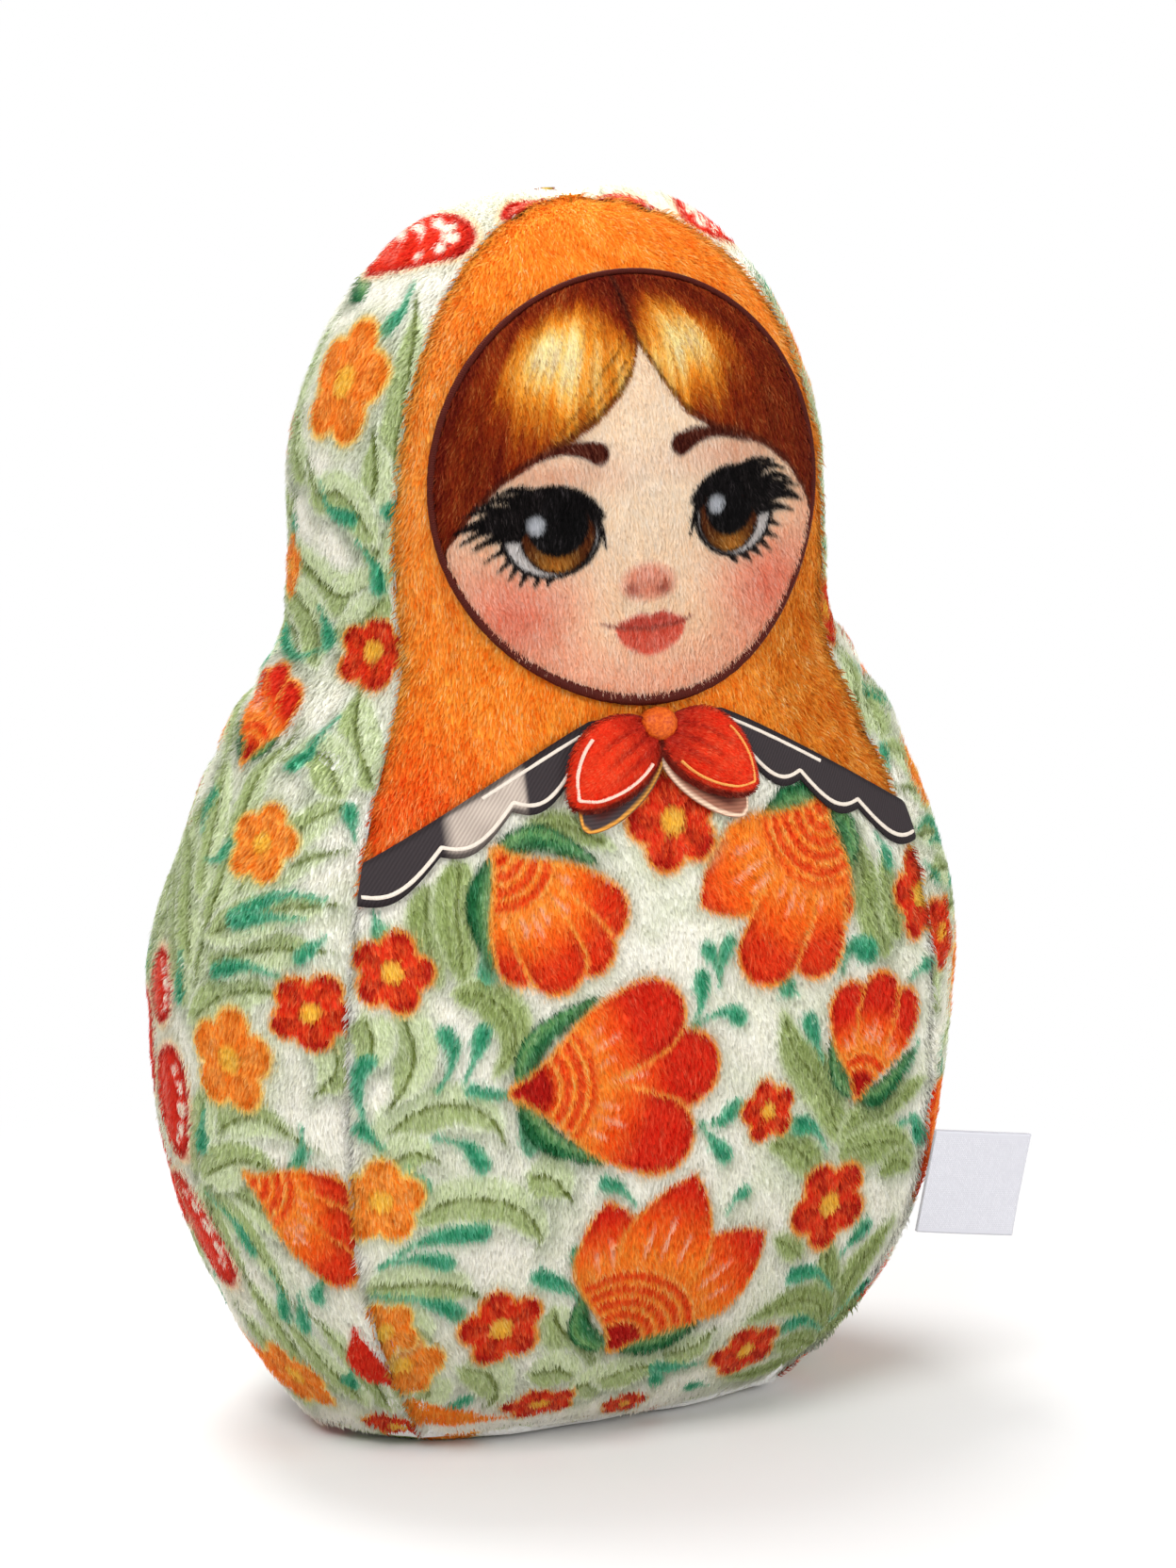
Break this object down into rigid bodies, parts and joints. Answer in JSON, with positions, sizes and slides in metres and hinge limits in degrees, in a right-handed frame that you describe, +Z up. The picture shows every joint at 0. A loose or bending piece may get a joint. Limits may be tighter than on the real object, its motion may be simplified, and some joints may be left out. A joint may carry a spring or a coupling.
{
  "type": "plush matryoshka doll",
  "caption": "Stuffed plush nesting-doll figure: pear-shaped sewn body with a flat base, sewn-on face, scarf hem and bow, and a folded ribbon label that swings on a side seam.",
  "frame": {"origin": "middle of the flat base, on the floor", "axes": "+Z up through the head, -Y the way the face looks, +X towards the doll's own left, the side with the label"},
  "size_m": [0.2, 0.1254, 0.2869],
  "materials": {
    "printed_plush": "short dense pile, printed, matt with a soft sheen along the nap",
    "face_plush": "short dense pile, printed",
    "satin_stitch": "close satin stitching with a thread sheen",
    "hem_twill": "flat twill weave, matt",
    "bow_plush": "short dense pile, printed",
    "knot_plush": "short dense pile over a padded dome",
    "sewing_thread": "twisted polyester thread",
    "fibre_filling": "lofty polyester fibre",
    "label_ribbon": "woven satin ribbon, folded double"
  },
  "bodies": {
    "doll": {"front_panel": "printed_plush", "back_panel": "printed_plush", "side_gusset": "printed_plush", "base_panel": "printed_plush", "front_seam_thread": "sewing_thread", "back_seam_thread": "sewing_thread", "base_seam_thread": "sewing_thread", "head_stuffing": "fibre_filling", "body_stuffing": "fibre_filling", "face_patch": "face_plush", "face_border": "satin_stitch", "right_hem_band": "hem_twill", "left_hem_band": "hem_twill", "right_bow_loop": "bow_plush", "left_bow_loop": "bow_plush", "bow_knot": "knot_plush"},
    "label": {"care_label": "label_ribbon"}
  },
  "joints": [
    {"name": "label_flap", "type": "hinge", "parent": "doll", "child": "label", "pos_m": [0.07294, -0.04657, 0.05487], "axis": [0.1493, -0.0796, 0.9856], "range_deg": [-110, 35], "stiffness_Nm_per_rad": 0.0002}
  ]
}
